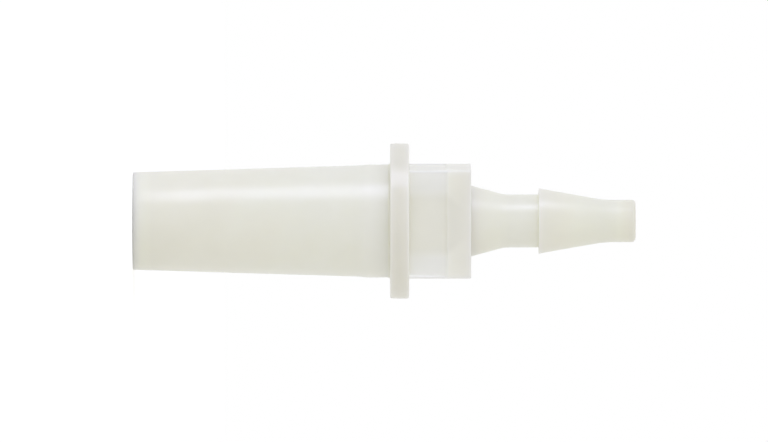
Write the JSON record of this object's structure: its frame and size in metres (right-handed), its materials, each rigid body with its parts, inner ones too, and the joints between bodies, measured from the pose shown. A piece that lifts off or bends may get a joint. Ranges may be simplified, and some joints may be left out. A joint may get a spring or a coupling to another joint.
{
  "type": "male luer to hose barb fitting",
  "caption": "Straight one-piece tube adapter with a male luer cone, a round stop flange, a square collar and a single hose barb on a stepped through bore.",
  "frame": {"origin": "centre of the luer end face, where the fitting stands on a surface", "axes": "+Z along the bore from the luer end to the barb, X and Y square to the collar's flats"},
  "size_m": [0.0064, 0.0064, 0.0206],
  "materials": {
    "natural_polypropylene": "satin gloss, milky translucent"
  },
  "bodies": {
    "root": {"fitting_body": "natural_polypropylene"}
  },
  "joints": []
}
